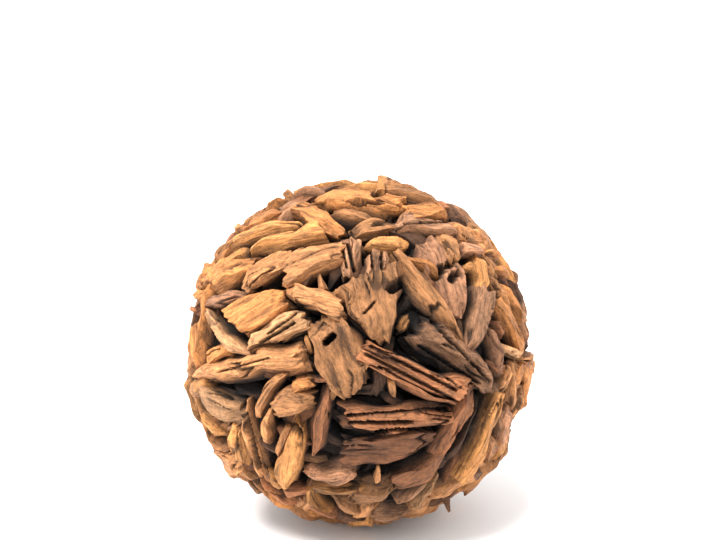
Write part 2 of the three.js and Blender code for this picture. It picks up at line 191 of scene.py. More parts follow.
# Chips that are rougher or smoother than the rest, against the usual relief
ROUGHNESS = {
    "ribbed_plank": 1.7, "shredded_board": 2.0, "ribbed_strand": 1.4, "left_log": 0.7, "knotted_root": 2.0,
    "cleft_root": 1.5, "grey_stump": 1.5, "heart_plate": 0.6, "holed_plate": 0.6, "saddle_block": 0.35,
    "bread_block": 0.6, "tan_shingle": 0.9, "orange_plank": 0.6, "eyed_root": 0.7, "golden_nose": 0.6,
    "round_knob": 0.6, "pale_plank": 0.8, "flat_board": 0.6, "tongue": 0.7,
}
ROUGHNESS_RANGE = (0.6, 1.3)

# Chips that are darker or lighter than their tone, from -2 to 1: partly their own tone, partly painted
# light and shade, as chips that their neighbours shade are lightened and the middle of the front is
# darkened
SHADES = {
    "knotted_root": -1.3, "rust_plank": -1.4, "spur_body": -0.6, "grey_stub": -0.9, "pitted_plate": -0.5,
    "flat_board": -2.0, "shredded_board": -0.4, "ribbed_plank": 0.5, "ribbed_strand": -0.8,
    "red_board": -0.8, "light_block": 1.0, "saddle_block": -0.2, "orange_plank": 0.0,
    "eyed_root": 0.6, "crown_spur": -0.6,
    "tan_shingle": 0.3, "heart_plate": -1.2, "holed_plate": -1.2, "left_log": 0.9, "bread_block": 0.6,
    "long_blade": -0.5, "pale_plank": 0.9, "golden_nose": 0.2, "star_wedge": 1.0, "tongue": 0.1,
    "triangle_plate": 0.5, "mouse_chip": -0.2, "gnarled_knot": -2.0, "curl": -1.6, "round_knob": -0.6,
    "small_nub": -0.3, "left_stave": 0.9, "thumb_chip": 0.8, "under_plank": 1.0, "cleft_root": 0.9,
    "grey_stump": 0.6, "split_root_upper": 0.9, "split_root_lower": 0.1, "mauve_strip": -0.8,
    "nail_plate": 0.6, "bottom_grey": -0.8, "hollow_blade": 0.8, "sickle": 0.8, "oak_knob": 0.6,
    "split_blade": 0.9, "branch_strip": 0.5,
}

# How finely each kind of chip is made: points around and along, and rings in each end face
LARGE_GRID = (70, 60, 5)
SMALL_GRID = (36, 30, 3)
BACK_GRID = (46, 38, 4)
FILL_GRID = (26, 20, 3)
INNER_GRID = (12, 6, 1)

# Where the draws of each kind of chip start
LARGE_DRAW = 100
SMALL_DRAW = 300
BACK_DRAW = 500
INNER_DRAW = 900
FILL_DRAW = 1400

# The larger chips of the front. Each row has the name, the tone, both ends as seen (right, up), the
# widths at the start, middle and end, the height of the top over the ball, and the shape of the top.
# A few rows add how far the chip bows sideways and how far its end rises.
FRONT_CHIPS = (
    ("star_wedge", "orange", (-187, 72), (-127, 104), (38, 42, 20), 3, ROUND),
    ("split_root_upper", "golden", (-146, 127), (-72, 148), (16, 16, 10), 1, ROUND),
    ("split_root_lower", "golden", (-127, 116), (-44, 141), (14, 22, 24), 3, ROUND),
    ("orange_slat", "orange", (-128, 148), (-92, 161), (16, 18, 10), 0, SLAB),
    ("tan_plank", "tan", (-137, 78), (-82, 110), (16, 26, 20), 1, SLAB),
    ("saddle_block", "tan", (-80, 98), (-20, 113), (38, 33, 28), 5, SLAB),
    ("orange_plank", "orange", (-88, 170), (-22, 144), (18, 26, 14), 1, SLAB),
    ("eyed_root", "orange", (-52, 177), (46, 172), (16, 36, 30), 2, SLAB),
    ("crown_spur", "golden", (22, 187), (27, 199), (14, 10, 6), 1, ROUND, 0, 5),
    ("under_plank", "tan", (-8, 142), (44, 153), (14, 18, 9), -4, SLAB),
    ("golden_nose", "golden", (9, 127), (56, 124), (14, 25, 18), 3, ROUND),
    ("long_blade", "tan", (46, 114), (119, 14), (26, 29, 8), 4, RIDGE),
    ("cleft_root", "grey", (-15, 133), (-6, 90), (20, 24, 14), 0, ROUND),
    ("grey_stump", "grey", (20, 118), (21, 86), (20, 28, 22), 1, ROUND),
    ("heart_plate", "tan", (10, 86), (31, 13), (88, 58, 8), 4, SLAB),
    ("tan_shingle", "tan", (-84, 68), (-21, 54), (14, 27, 25), 2, SLAB),
    ("bread_block", "orange", (-141, 32), (-88, 66), (40, 37, 24), 5, SLAB),
    ("pink_chip", "pink", (-183, 54), (-138, 65), (8, 19, 12), 0, ROUND),
    ("branch_strip", "pale", (-184, 41), (-133, 0), (12, 16, 12), 1, ROUND),
    ("left_stave", "orange", (-188, 37), (-188, -19), (15, 22, 14), 1, SLAB),
    ("thumb_chip", "orange", (-176, -13), (-152, 7), (15, 21, 12), 1, ROUND),
    ("split_blade", "pale", (-129, 4), (-67, 42), (8, 23, 21), 2, SLAB),
    ("left_log", "tan", (-188, -32), (-75, -3), (14, 35, 32), 7, RIDGE),
    ("low_plate", "pale", (-186, -52), (-143, -70), (17, 30, 20), 1, SLAB),
    ("oak_knob", "golden", (-141, -93), (-136, -133), (18, 26, 19), 2, ROUND),
    ("hollow_blade", "tan", (-134, -60), (-111, -143), (8, 19, 18), 3, RIDGE),
    ("sickle", "tan", (-118, -77), (-86, -29), (11, 15, 8), 1, ROUND, 8),
    ("round_knob", "tan", (-100, -62), (-55, -64), (21, 34, 22), 4, ROUND),
    ("small_nub", "orange", (-80, -35), (-56, -42), (15, 23, 15), 1, ROUND),
    ("tongue", "golden", (-76, -84), (-81, -157), (15, 28, 17), 6, ROUND),
    ("red_blade", "red", (-40, -46), (-53, -122), (8, 23, 10), 1, RIDGE),
    ("holed_plate", "tan", (-42, 38), (-5, -44), (42, 56, 38), 2, SLAB),
    ("ribbed_plank", "red", (8, 1), (115, -53), (25, 26, 17), 8, SLAB),
    ("ribbed_strand", "red", (5, -13), (107, -66), (6, 8, 5), 2, ROUND),
    ("knotted_root", "grey", (76, 22), (164, -45), (32, 42, 8), 4, RIDGE),
    ("grey_stub", "grey", (145, 71), (133, -2), (30, 30, 14), 2, ROUND),
    ("yellow_chip", "golden", (140, 109), (143, 73), (14, 20, 11), 1, ROUND),
    ("pitted_plate", "pink", (80, 128), (117, 44), (25, 42, 12), 0, SLAB),
    ("fan_chip", "tan", (92, 132), (117, 108), (15, 27, 13), 2, SLAB),
    ("grey_plank", "grey", (45, 144), (113, 147), (17, 21, 13), 1, SLAB),
    ("triangle_plate", "orange", (51, 166), (108, 157), (28, 24, 10), 2, SLAB),
    ("rim_sliver", "tan", (32, 189), (96, 171), (15, 19, 12), 1, ROUND),
    ("mauve_block", "pink", (121, 124), (146, 114), (17, 14, 8), 1, SLAB),
    ("spur_chip", "orange", (143, 118), (172, 109), (9, 18, 4), 1, RIDGE),
    ("right_slat", "orange", (161, 53), (192, 0), (16, 16, 11), 1, SLAB),
    ("mauve_strip", "pink", (156, 35), (164, -28), (10, 14, 7), 0, ROUND),
    ("nail_plate", "tan", (184, -15), (177, -81), (17, 28, 16), 1, SLAB),
    ("pale_plank", "golden", (164, -52), (114, -146), (14, 17, 16), 5, SLAB),
    ("red_board", "red", (133, -43), (93, -124), (12, 18, 14), 1, SLAB),
    ("light_block", "pink", (169, -76), (164, -116), (16, 20, 9), 1, SLAB),
    ("shredded_board", "red", (-15, -80), (106, -80), (26, 36, 26), 3, ROUND),
    ("flat_board", "red", (-16, -118), (87, -109), (40, 36, 16), -5, SLAB),
    ("rust_plank", "red", (44, -158), (97, -120), (19, 20, 10), 0, SLAB),
    ("spur_body", "dark", (74, -182), (116, -158), (10, 20, 10), 1, ROUND),
    ("gnarled_knot", "tan", (-10, -171), (39, -156), (16, 26, 18), 3, ROUND),
    ("mouse_chip", "pink", (-64, -146), (-5, -142), (8, 25, 11), 2, RIDGE),
    ("curl", "golden", (6, -162), (-53, -158), (10, 13, 14), 3, ROUND, -3),
    ("bottom_grey", "grey", (12, -188), (58, -185), (11, 18, 8), 4, RIDGE),
)

# The small chips and slivers between them, in the same columns. The deep chips of the dark tone,
# dark_root, shadow_board, blue_board, slot_board and deep_board, are dark as painted shade in the gaps
SMALL_CHIPS = (
    ("rim_leaf", "tan", (-172, 103), (-150, 130), (10, 16, 6), 0, ROUND),
    ("left_rim_bit", "red", (-197, 58), (-190, 42), (6, 10, 8), 0, ROUND),
    ("yellow_hollow", "golden", (-163, 103), (-138, 116), (14, 20, 14), -5, ROUND),
    ("ring_nub", "tan", (-149, 141), (-134, 147), (14, 19, 14), 1, ROUND),
    ("crown_knob", "tan", (-133, 152), (-118, 157), (13, 17, 12), 1, ROUND),
    ("shoulder_nub", "orange", (-110, 166), (-87, 179), (11, 16, 10), 0, ROUND),
    ("tiny_spike", "tan", (-87, 179), (-79, 186), (9, 7, 3), 0, ROUND, 0, 4),
    ("top_nub", "grey", (-72, 184), (-39, 187), (10, 13, 8), 0, ROUND),
    ("purple_sliver", "pink", (-23, 139), (9, 117), (8, 12, 8), -9, ROUND),
    ("blade_splinter", "orange", (60, 114), (92, 84), (6, 9, 4), 1, ROUND),
    ("thorn", "tan", (-43, 70), (-50, 91), (13, 8, 3), -2, ROUND),
    ("rim_dark", "dark", (98, 171), (128, 150), (7, 12, 5), 0, ROUND),
    ("olive_chip", "tan", (108, 151), (128, 135), (12, 18, 12), 0, ROUND),
    ("rim_bead", "tan", (133, 142), (146, 126), (8, 12, 8), 0, ROUND),
    ("golden_nub", "golden", (122, 102), (133, 98), (12, 15, 12), -2, ROUND),
    ("rim_shoulder", "orange", (158, 104), (178, 82), (12, 16, 11), 0, ROUND),
    ("rim_strip", "tan", (154, 90), (178, 52), (7, 10, 8), -2, ROUND),
    ("rim_lath", "orange", (166, 75), (192, 36), (9, 12, 10), 0, ROUND),
    ("dark_rim", "dark", (178, 84), (190, 52), (9, 13, 8), -1, ROUND),
    ("grey_rim", "grey", (187, 50), (197, 14), (8, 11, 9), 0, ROUND),
    ("dark_root", "dark", (121, 47), (126, 2), (8, 9, 9), -10, ROUND),
    ("twisted_bit", "red", (160, 28), (171, 21), (8, 11, 8), -3, ROUND),
    ("pale_strip", "pale", (165, 15), (189, -13), (7, 10, 7), 0, ROUND),
    ("right_nub", "tan", (189, -10), (198, -6), (10, 9, 6), 1, ROUND),
    ("slab_end", "tan", (176, -18), (166, -50), (11, 14, 12), -1, ROUND),
    ("shadow_board", "dark", (146, -58), (108, -132), (7, 9, 8), -9, ROUND),
    ("small_wedge", "tan", (147, -106), (158, -126), (11, 16, 8), 0, ROUND),
    ("brown_bit", "tan", (134, -121), (149, -131), (12, 14, 12), -4, ROUND),
    ("dark_block", "dark", (124, -148), (143, -139), (15, 18, 13), 0, ROUND),
    ("grey_fibres", "grey", (43, -177), (92, -145), (12, 14, 9), -1, ROUND),
    ("light_strip", "pale", (51, -186), (96, -150), (6, 8, 6), 2, ROUND),
    ("spur_tip", "dark", (98, -171), (107, -184), (14, 9, 3), 0, ROUND, 0, 14),
    ("wedge_bit", "golden", (48, 30), (63, 41), (10, 15, 7), -8, ROUND),
    ("blue_board", "dark", (-17, 50), (22, 18), (18, 22, 14), -13, ROUND),
    ("slot_board", "dark", (-24, -50), (28, -50), (14, 18, 14), -12, ROUND),
    ("deep_board", "dark", (22, -22), (22, -56), (20, 22, 20), -10, ROUND),
    ("board_end", "tan", (40, -31), (41, -56), (8, 10, 8), -8, ROUND),
    ("stub_bundle", "red", (93, -37), (131, -37), (10, 16, 14), -4, ROUND),
    ("gap_peg", "tan", (-72, 7), (-66, -25), (5, 12, 6), -5, ROUND),
    ("gap_sliver", "golden", (-63, 18), (-57, -2), (8, 10, 6), -6, ROUND),
    ("red_bit", "red", (-50, -31), (-42, -41), (8, 11, 6), -5, ROUND),
    ("pale_bit", "pale", (-35, -47), (-24, -44), (7, 9, 6), -4, ROUND),
    ("hollow_stub", "golden", (-182, -80), (-160, -93), (12, 17, 13), 0, ROUND),
    ("fibre_bit", "grey", (-160, -92), (-133, -84), (10, 14, 10), -7, ROUND),
    ("left_nub", "tan", (-168, -105), (-153, -110), (12, 14, 10), 0, ROUND),
    ("thin_rim", "tan", (-141, -133), (-119, -150), (6, 8, 5), 0, ROUND),
    ("sliver", "tan", (-111, -70), (-101, -111), (5, 8, 4), 2, ROUND),
    ("companion", "tan", (-89, -89), (-93, -127), (8, 12, 7), -3, ROUND),
    ("rough_yellow", "golden", (-107, -149), (-88, -159), (9, 14, 9), -3, ROUND),
    ("brown_board", "red", (-90, -164), (-58, -164), (10, 15, 11), -2, ROUND),
    ("low_left_rim", "red", (-117, -152), (-72, -179), (9, 14, 9), 0, ROUND),
    ("bottom_left_rim", "red", (-70, -177), (-20, -192), (9, 13, 10), 0, ROUND),
    ("bottom_rim", "dark", (-25, -190), (14, -194), (8, 11, 8), 0, ROUND),
    ("curl_limb", "golden", (-56, -160), (-36, -186), (9, 7, 6), 2, ROUND, -5),
    ("inner_tongue", "tan", (-33, -172), (8, -188), (10, 15, 11), 0, ROUND),
    ("knot_spike", "tan", (22, -150), (21, -137), (9, 6, 3), 2, ROUND),
)

# Hollows and splits in a chip: both ends as seen, the width and the depth
MARKS = {
    "eyed_root": (((18, 180), (26, 182), 6, 24), ((-4, 171), (4, 171), 7, 24)),
    "heart_plate": (((38, 72), (50, 80), 10, 16), ((53, 74), (52, 60), 5, 10), ((18, 56), (6, 43), 2, 6)),
    "holed_plate": (((-38, 10), (-30, 17), 6, 24),),
    "pitted_plate": (
        ((88, 87), (94, 93), 10, 16), ((104, 99), (106, 101), 8, 10), ((107, 83), (110, 87), 8, 12),
    ),
    "nail_plate": (
        ((188, -30), (188, -36), 6, 14), ((184, -45), (184, -46), 5, 12), ((167, -62), (167, -67), 6, 12),
    ),
    "star_wedge": (((-181, 74), (-172, 76), 6, 14),),
    "long_blade": (((48, 128), (82, 92), 3, 10),),
    "split_blade": (((-112, 10), (-75, 32), 3, 9), ((-104, 20), (-72, 43), 2, 7)),
    "knotted_root": (
        ((84, 34), (150, -34), 3, 10), ((70, 6), (136, -36), 3, 9), ((66, 22), (72, 28), 7, 12),
    ),
    "cleft_root": (((-14, 128), (-6, 92), 3, 12), ((-20, 122), (-14, 96), 2, 8)),
    "ribbed_plank": (
        ((14, 5), (110, -44), 3, 9), ((9, -4), (108, -55), 3, 8),
        ((40, 0), (104, -33), 2, 7), ((24, -18), (96, -58), 2, 7),
    ),
    "shredded_board": (
        ((-12, -74), (100, -66), 3, 12), ((-10, -82), (60, -81), 3, 10),
        ((20, -92), (102, -86), 3, 11), ((48, -68), (104, -76), 2, 9),
    ),
    "left_log": (((-160, -24), (-104, -8), 2, 4),),
    "pale_plank": (((158, -60), (120, -134), 2, 6),),
    "grey_plank": (((52, 146), (104, 148), 2, 7),),
    "grey_stump": (((14, 114), (16, 90), 2, 8), ((26, 114), (26, 90), 2, 8)),
    "hollow_blade": (((-130, -72), (-114, -132), 5, 14),),
    "tongue": (((-74, -86), (-72, -89), 7, 10), ((-68, -92), (-67, -95), 5, 8)),
}

# The chip under the pole that the ball stands on
FOOT_LENGTH = 112.0
FOOT_WIDTHS = (62, 84, 66)

# The rule for the chips of the sides and the back
BACK_COUNT = 60
BACK_SEED = 2024
BACK_FROM = math.radians(75.0)
FOOT_CLEAR = math.radians(13.0)
BACK_LENGTH = (66, 106)
BACK_WIDTH = (36, 54)
BACK_LEVEL = (-2, 4)
BACK_SHIFT = 0.05
BACK_SWING = 0.5
BACK_TONES = ("tan", "orange", "golden", "red", "grey", "tan")
START_TAPER = (0.45, 0.95)
LAST_TAPER = (0.3, 0.9)
ROUND_SHARE = 0.5
FLOW_TURNS = (2.0, 1.5)
GOLDEN_TURN = math.pi * (3 - math.sqrt(5))
ROW_FACTOR = 1664525
ROW_STEP = 1013904223
ROW_SIZE = 4294967296

# The rule for the smaller chips between those of the back
FILL_COUNT = 236
FILL_SEED = 311
FILL_FROM = math.radians(64.0)
FILL_LENGTH = (46, 84)
FILL_WIDTH = (20, 34)
FILL_LEVEL = (-9, 0)

# The rule for the chips packed under the outer ones; their tones lean to the dark one as painted shade
# deep in the ball
INNER_COUNT = 320
INNER_SEED = 77
INNER_LENGTH = (34, 72)
INNER_WIDTH = (10, 24)
INNER_LEVEL = (-26, -7)
INNER_TONES = ("dark", "red", "dark", "tan")

# Seen directions
TO_EYE = Vector((0, -math.cos(EYE_LIFT), math.sin(EYE_LIFT)))
SEEN_RIGHT = Vector((1, 0, 0))
SEEN_UP = Vector((0, math.sin(EYE_LIFT), math.cos(EYE_LIFT)))
UP = Vector((0, 0, 1))
DOWN = Vector((0, 0, -1))


def smooth(value, low, high):
    """From 0 at low to 1 at high, with level ends."""
    share = min(1.0, max(0.0, (value - low) / (high - low)))
    return share * share * (3 - 2 * share)


def stray(place):
    """A smooth drift in two directions that is the same in every run."""
    return Vector((noise.noise(place), noise.noise(place + OTHER_NOISE)))


def seen_direction(right, up):
    """The direction from the middle of the ball to the point of its surface seen at this place."""
    seen = math.hypot(right, up)
    share = min(seen / BALL_RADIUS, RIM_LIMIT)
    rim_sine = BALL_RADIUS / EYE_DISTANCE
    sight = math.atan(share * math.tan(math.asin(rim_sine)))
    polar = math.asin(min(1.0, math.sin(sight) / rim_sine)) - sight
    reach = math.sin(polar) / max(seen, 1.0)
    return TO_EYE * math.cos(polar) + SEEN_RIGHT * (right * reach) + SEEN_UP * (up * reach)


def seen_place(point):
    """Where a point near the ball is seen, as (right, up)."""
    rim_cosine = math.sqrt(1 - (BALL_RADIUS / EYE_DISTANCE) ** 2)
    scale = EYE_DISTANCE * rim_cosine / (EYE_DISTANCE - point.dot(TO_EYE))
    return Vector((point.dot(SEEN_RIGHT) * scale, point.dot(SEEN_UP) * scale))


class Chip:
    """One chip of wood: where it lies on the ball, how wide and high it is, and its tone."""

    def __init__(self, name, tone, start, end, widths, level, crown, bow=0.0, rise=0.0):
        self.name = name
        self.tone = tone
        self.widths = widths
        self.crown = crown
        self.bow = bow
        self.rise = rise
        self.floor = DEEP_FLOOR if level < DEEP_LEVEL else CHIP_FLOOR
        self.top = BALL_RADIUS + level
        self.height = self.top - self.floor
        self.first = start * self.top
        self.last = end * (self.top + rise)
        self.length = (self.last - self.first).length
        self.along = (self.last - self.first).normalized()
        out = (self.first + self.last).normalized()
        self.out = (out - self.along * out.dot(self.along)).normalized()
        self.side = self.out.cross(self.along)

    def spine(self, share):
        """The middle of the underside at a share of the length."""
        point = self.first.lerp(self.last, share)
        lift = ARCH * (self.top + self.rise * share - point.length) - self.height
        return point + self.out * lift + self.side * (self.bow * 4 * share * (1 - share))

    def width_at(self, share):
        """The width on the curve through the three widths."""
        first, middle, last = self.widths
        early = first * (1 - share) * (1 - 2 * share)
        late = last * share * (2 * share - 1)
        return early + 4 * middle * share * (1 - share) + late

    def height_at(self, share):
        """The thickness, which falls off toward a narrow end."""
        end = self.widths[0] if share < 0.5 else self.widths[2]
        thinnest = min(END_THICKEST, max(END_THINNEST, end / self.widths[1]))
        inward = smooth(min(share, 1 - share), END_START, END_RUN)
        return self.height * (thinnest + (1 - thinnest) * inward)

    def corners_at(self, share, offset):
        """The corners of the section from the right shoulder on, each wandering along the grain."""
        half = self.width_at(share) / 2
        height = self.height_at(share)
        top = self.crown * half
        foot = UNDERSIDE * half
        shoulder = SHOULDER * height
        plain = ((half, shoulder), (top, height), (-top, height), (-half, shoulder), (-foot, 0), (foot, 0))
        corners = []
        for number, (across, up) in enumerate(plain):
            place = Vector((share * self.length / WANDER_PERIOD, number * CORNER_STEP, offset))
            drift = stray(place)
            across += drift.x * WANDER_WIDTH * 2 * half
            up += drift.y * WANDER_HEIGHT * height
            corners.append((across, up))
        return corners


def seen_chip(name, tone, start, end, widths, level, crown, bow=0.0, rise=0.0):
    """A chip from a row of a table."""
    return Chip(name, tone, seen_direction(*start), seen_direction(*end), widths, level, crown, bow, rise)


def placed_chip(name, tone, middle, heading, length, widths, level, crown):
    """A chip about a direction, lying along a heading."""
    half = length / 2 / BALL_RADIUS
    start = middle * math.cos(half) - heading * math.sin(half)
    end = middle * math.cos(half) + heading * math.sin(half)
    return Chip(name, tone, start, end, widths, level, crown)


class NumberRow:
    """A repeatable row of numbers from 0 to 1."""

    def __init__(self, seed):
        self.state = seed

    def next(self):
        """The next number of the row."""
        self.state = (self.state * ROW_FACTOR + ROW_STEP) % ROW_SIZE
        return self.state / ROW_SIZE

    def between(self, limits):
        """The next number, brought between two limits."""
        return limits[0] + (limits[1] - limits[0]) * self.next()


def flow_angle(place):
    """The heading of the slow flow that the spread chips lie along."""
    wave = FLOW_TURNS[0] * math.sin(2 * place.x - 3 * place.z)
    return wave + FLOW_TURNS[1] * math.cos(3 * place.y + place.x)


def spread_chips(count, seed, length_range, width_range, level_range, tones):
    """Chips spread evenly over the whole ball by a spiral and set along a slow flow."""
    row = NumberRow(seed)
    for number in range(count):
        height = 1 - (2 * number + 1) / count
        ring = math.sqrt(1 - height * height)
        turn = number * GOLDEN_TURN
        middle = Vector((ring * math.cos(turn), ring * math.sin(turn), height))
        east = UP.cross(middle).normalized()
        north = middle.cross(east)
        middle = middle + east * (BACK_SHIFT * (2 * row.next() - 1))
        middle = (middle + north * (BACK_SHIFT * (2 * row.next() - 1))).normalized()
        angle = flow_angle(middle) + BACK_SWING * (2 * row.next() - 1)
        length = row.between(length_range)
        width = row.between(width_range)
        first = width * row.between(START_TAPER)
        last = width * row.between(LAST_TAPER)
        level = row.between(level_range)
        crown = ROUND if row.next() < ROUND_SHARE else SLAB
        tone = tones[int(row.next() * len(tones))]
        heading = east * math.cos(angle) + north * math.sin(angle)
        heading = (heading - middle * heading.dot(middle)).normalized()
        widths = (first, width, last)
        chip = placed_chip(str(number), tone, middle, heading, length, widths, level, crown)
        yield middle, chip


def hidden_chips(made, limit):
    """Of the chips spread over the ball, those past an angle from the eye and clear of the foot."""
    return [
        chip for middle, chip in made
        if middle.angle(TO_EYE) >= limit and middle.angle(DOWN) >= FOOT_CLEAR
    ]


def back_chips():
    """The chips of the sides and the back."""
    made = spread_chips(BACK_COUNT, BACK_SEED, BACK_LENGTH, BACK_WIDTH, BACK_LEVEL, BACK_TONES)
    return hidden_chips(made, BACK_FROM)


def fill_chips():
    """The smaller chips between those of the back."""
    made = spread_chips(FILL_COUNT, FILL_SEED, FILL_LENGTH, FILL_WIDTH, FILL_LEVEL, BACK_TONES)
    return hidden_chips(made, FILL_FROM)


def inner_chips():
    """The chips packed under the outer ones."""
    made = spread_chips(INNER_COUNT, INNER_SEED, INNER_LENGTH, INNER_WIDTH, INNER_LEVEL, INNER_TONES)
    return [chip for middle, chip in made]


def section_columns(chip, around):
    """For each point around a section, the side that it is on and how far along that side."""
    corners = [Vector(corner) for corner in chip.corners_at(0.5, 0.0)]
    lengths = []
    for number, care in enumerate(SIDE_CARES):
        side = corners[(number + 1) % len(corners)] - corners[number]
        lengths.append(side.length * care)
    counts = [max(1, round(around * length / sum(lengths))) for length in lengths]
    longest = counts.index(max(counts))
    counts[longest] += around - sum(counts)
    return [(number, step / count) for number, count in enumerate(counts) for step in range(count)]


def ridged(run, flat, periods, offset):
    """A noise of sharp ridges along the grain, up to 1 on a ridge."""
    along, across = periods
    return 1 - 2 * abs(noise.noise((run / along, flat.x / across, flat.y / across + offset)))


def crack_depth(run, across, up, offset):
    """How deep the splits along the grain go at a place of a chip, from 0 to 1."""
    long_period, cross_period = CRACK_PERIODS
    place = Vector((run / long_period, across / cross_period, up / cross_period + offset))
    near = 1 - abs(noise.noise(place)) / CRACK_SHARE
    if near <= 0:
        return 0.0
    gate = noise.noise(Vector((run / CRACK_GATE, across / CRACK_GATE, offset + GATE_STEP)))
    return near * smooth(gate, *CRACK_OPENS)


def mark_depth(marks, point):
    """How deep the hollows of a chip go at a point of the ball."""
    deepest = 0.0
    place = seen_place(point)
    for start, end, width, depth in marks:
        line = Vector(end) - Vector(start)
        share = min(1.0, max(0.0, (place - Vector(start)).dot(line) / line.length_squared))
        away = (place - Vector(start) - line * share).length
        inner, outer = MARK_EDGE
        deepest = max(deepest, depth * (1 - smooth(away, width * inner, width * outer)))
    return deepest


def add_chip(bm, chip, grid, seed):
    """Add one chip of split wood to an empty mesh, with its grain, relief, shade and cut as attributes."""
    around, rings, cap_rings = grid
    sizes = bpy.context.scene.root_ball_relief
    facet_height = sizes.facet_height / MM
    fibre_height = sizes.fibre_height / MM
    most_bend = sizes.bend / MM
    draw = random.Random(seed)
    offset = draw.uniform(0, NOISE_SPREAD)
    shade = SHADES.get(chip.name, draw.uniform(-1, 1))
    end_slope = draw.uniform(-SLOPE_MOST, SLOPE_MOST)
    start_slope = draw.uniform(-SLOPE_MOST, SLOPE_MOST)
    twist = draw.uniform(-TWIST_MOST, TWIST_MOST)
    roughness = ROUGHNESS.get(chip.name, draw.uniform(*ROUGHNESS_RANGE))
    gnarl = GNARLS.get(chip.name, draw.uniform(*GNARL_RANGE)) * sizes.gnarl / MM
    crack_most = min(1.0, roughness) * sizes.crack_depth / MM
    tear = min(sizes.tear_length / MM, TEAR_SHARE * chip.widths[1])
    marks = MARKS.get(chip.name, ())
    columns = section_columns(chip, around)
    grain_layer = bm.verts.layers.float_vector["grain"]
    relief_shade_layer = bm.verts.layers.float["relief"]
    shade_layer = bm.verts.layers.float["shade"]
    cut_layer = bm.verts.layers.float["cut"]
    body_rings = rings - 2 * cap_rings
    sections = {}
    made = bmesh.ops.create_uvsphere(bm, u_segments=around, v_segments=rings, radius=1.0)
    for vert in made["verts"]:
        ring = round(math.acos(min(1.0, max(-1.0, vert.co.z))) / math.pi * rings)
        column = round(math.atan2(vert.co.y, vert.co.x) / math.tau * around) % around
        share = 1 - min(1.0, max(0.0, (ring - cap_rings) / body_rings))
        squeeze = min(1.0, ring / cap_rings, (rings - ring) / cap_rings)
        if share not in sections:
            turned = Matrix.Rotation(twist * (2 * share - 1), 2)
            corners = [turned @ Vector(corner) for corner in chip.corners_at(share, offset)]
            bend = most_bend * noise.noise((share * chip.length / BEND_PERIOD, offset, 0))
            sections[share] = (corners, chip.spine(share) + chip.side * bend, chip.height_at(share))
        corners, spine, height = sections[share]
        number, step = columns[column]
        heart = Vector((0, HEART_HEIGHT * height))
        flat = corners[number].lerp(corners[(number + 1) % len(corners)], step)
        outward = (flat - heart).normalized()
        run = share * chip.length
        facet = ridged(run, flat, FACET_PERIODS, offset) - RIDGE_MIDDLE
        fibre = ridged(run, flat, FIBRE_PERIODS, offset) - RIDGE_MIDDLE
        crack = crack_depth(run, flat.x, flat.y, offset) * crack_most
        raised = roughness * (facet_height * facet + fibre_height * fibre) - crack
        place = Vector((run, flat.x, flat.y)) / GNARL_PERIOD
        knob = stray(place + Vector((0, 0, offset))) * gnarl
        flat = heart + (flat + outward * raised + knob - heart) * squeeze
        near_end = smooth(share, 1 - END_SHARE, 1.0)
        near_start = 1 - smooth(share, 0.0, END_SHARE)
        fray = tear * noise.noise((flat.x / TEAR_PERIOD, flat.y / (2 * TEAR_PERIOD), offset))
        pitted = noise.noise((flat.x / END_PERIOD, flat.y / END_PERIOD, offset + END_STEP))
        torn = fray + END_ROUGHNESS * (1 - squeeze) * pitted
        shift = near_end * (torn + end_slope * flat.x) + near_start * (torn + start_slope * flat.x)
        point = spine + chip.side * flat.x + chip.out * flat.y + chip.along * shift
        hollow = mark_depth(marks, point) if marks and flat.y > MARKED_FROM * height else 0.0
        point = point - chip.out * hollow
        point.z = max(point.z, -CENTRE_HEIGHT)
        vert.co = point
        vert[grain_layer] = Vector((run + shift, flat.x, flat.y)) + GRAIN_SHIFT * offset
        ridges = FACET_WEIGHT * facet + FIBRE_WEIGHT * fibre
        # Relief for painted shade: the wood darkens where it is low, in cracks and hollows, and lightens
        # on the ridges
        vert[relief_shade_layer] = max(-1.0, min(1.0, ridges - crack / CRACK_FULL - hollow / HOLLOW_FULL))
        vert[shade_layer] = shade
        vert[cut_layer] = 1 - squeeze


def add_bed(bm):
    """Add the uneven mass under the inner chips to an empty mesh, which takes the dark tone as painted
    shade.
    """
    grain_layer = bm.verts.layers.float_vector["grain"]
    made = bmesh.ops.create_icosphere(bm, subdivisions=BED_FINENESS, radius=BED_RADIUS)
    for vert in made["verts"]:
        vert.co *= 1 + BED_SWELL / BED_RADIUS * noise.noise(vert.co / BED_PERIOD)
        vert[grain_layer] = vert.co


def new_mesh():
    """An empty mesh with the attributes that the wood reads."""
    bm = bmesh.new()
    bm.verts.layers.float_vector.new("grain")
    for name in ("relief", "shade", "cut"):
        bm.verts.layers.float.new(name)
    return bm


def finish_piece(bm, name, tone, node):
    """Place a mesh on its stand, give it its wood and let it stand for a node of the frame."""
    place = Matrix.Translation(Vector((0, 0, CENTRE_HEIGHT * MM))) @ Matrix.Scale(MM, 4)
    bmesh.ops.transform(bm, matrix=place, verts=bm.verts)
    mesh = bpy.data.meshes.new(name)
    bm.to_mesh(mesh)
    bm.free()
    mesh.shade_smooth()
    mesh.set_sharp_from_angle(angle=SHARP_ANGLE)
    piece = bpy.data.objects.new(name, mesh)
    bpy.context.scene.collection.objects.link(piece)
    piece.data.materials.append(wood_material(tone))
    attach(piece, "root")
    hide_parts(node)


def add_by_tone(chips, prefix, grid, first_seed):
    """Join chips of like tone into one piece each."""
    for tone in TONES:
        alike = [(number, chip) for number, chip in enumerate(chips) if chip.tone == tone]
        if not alike:
            continue
        joined = new_mesh()
        for number, chip in alike:
            single = new_mesh()
            add_chip(single, chip, grid, first_seed + number)
            join_mesh(joined, single)
        finish_piece(joined, f"{prefix}_{tone}", tone, "packed_chips")


